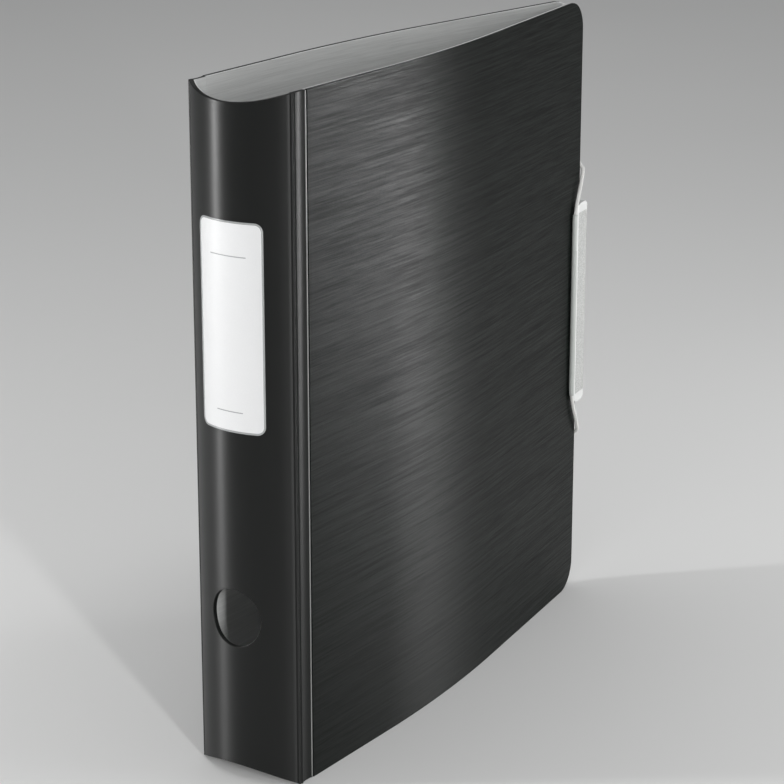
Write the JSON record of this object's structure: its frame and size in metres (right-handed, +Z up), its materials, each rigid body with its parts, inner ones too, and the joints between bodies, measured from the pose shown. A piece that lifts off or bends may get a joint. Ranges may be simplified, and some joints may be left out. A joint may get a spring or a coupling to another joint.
{
  "type": "lever arch file",
  "caption": "Lever arch ring binder with rounded spine, label pocket, finger hole, hinged covers, two-ring mechanism and elastic fore-edge closure.",
  "frame": {"origin": "on the standing surface, under the middle of the closed file's bounding box", "axes": "+Z up, the file standing on its bottom edge; +X from the spine to the fore edge; +Y from the front cover to the back cover"},
  "size_m": [0.301, 0.0566, 0.318],
  "materials": {
    "cover_sheet": "brushed anthracite polypropylene, horizontal grain",
    "spine_sheet": "satin anthracite polypropylene",
    "hinge_strip": "satin soft polypropylene",
    "lining": "light grey brushed lining",
    "label_frame": "clear grey label pocket edge",
    "label_card": "smooth white card",
    "steel_plate": "nickel-plated pressed steel",
    "steel_wire": "nickel-plated wire",
    "rivet": "nickel-plated",
    "lever_steel": "nickel-plated pressed steel",
    "lever_grip": "dark moulded grip",
    "roller": "white acetal",
    "compressor": "dark moulded bar",
    "bush": "grey moulded bush",
    "closure_plastic": "smooth light grey moulding",
    "closure_pad": "stippled light grey pad",
    "elastic": "braided light grey elastic cord",
    "sleeve": "satin light grey tube",
    "eyelet": "nickel-plated",
    "end_stop": "crimped nickel-plated bead"
  },
  "bodies": {
    "back": {"back_cover": "cover_sheet", "back_lining": "lining", "rear_hinge_strip": "hinge_strip", "base_plate": "steel_plate", "base_rivets": "rivet", "upper_post": "steel_wire", "lower_post": "steel_wire", "lever_pivot_pin": "rivet", "cord_eyelets": "eyelet", "cord_end_stops": "end_stop"},
    "spine": {"spine_panel": "spine_sheet", "spine_lining": "lining", "front_hinge_strip": "hinge_strip", "label_frame": "label_frame", "label_card": "label_card"},
    "front": {"front_cover": "cover_sheet", "front_lining": "lining", "closure_catch": "closure_plastic", "closure_pad": "closure_pad"},
    "arches": {"arch_shaft": "steel_wire", "upper_arch": "steel_wire", "lower_arch": "steel_wire"},
    "lever": {"lever_arm": "lever_steel", "lever_grip": "lever_grip", "lever_roller": "roller", "roller_pin": "rivet"},
    "compressor": {"compressor_bar": "compressor", "compressor_bushes": "bush"},
    "closure": {"elastic_cord": "elastic", "cord_sleeve": "sleeve"}
  },
  "joints": [
    {"name": "spine_fold", "type": "hinge", "parent": "back", "child": "spine", "pos_m": [-0.13337, 0.02633, 0.159], "axis": [0, 0, -1], "range_deg": [0, 90], "deforming": ["rear_hinge_strip"]},
    {"name": "front_cover_open", "type": "hinge", "parent": "spine", "child": "front", "pos_m": [-0.13337, -0.02707, 0.159], "axis": [0, 0, -1], "range_deg": [0, 120], "deforming": ["front_hinge_strip"]},
    {"name": "lever_lift", "type": "hinge", "parent": "back", "child": "lever", "pos_m": [-0.09507, 0.01642, 0.173], "axis": [-1, 0, 0], "range_deg": [0, 50]},
    {"name": "arch_swing", "type": "hinge", "parent": "back", "child": "arches", "pos_m": [-0.11407, 0.02042, 0.159], "axis": [0, 0, -1], "range_deg": [0, 60]},
    {"name": "compressor_slide", "type": "slide", "parent": "back", "child": "compressor", "axis": [0, -1, 0], "range_m": [0, 0.015]},
    {"name": "closure_swing", "type": "hinge", "parent": "back", "child": "closure", "pos_m": [0.14513, 0.00263, 0.159], "axis": [0, 0, 1], "range_deg": [0, 100], "deforming": ["elastic_cord", "cord_sleeve"]}
  ],
  "couplings": [
    {"joint": "arch_swing", "follows": "lever_lift", "ratio": 1.2},
    {"joint": "closure_swing", "follows": "front_cover_open", "ratio": 0.83333}
  ]
}
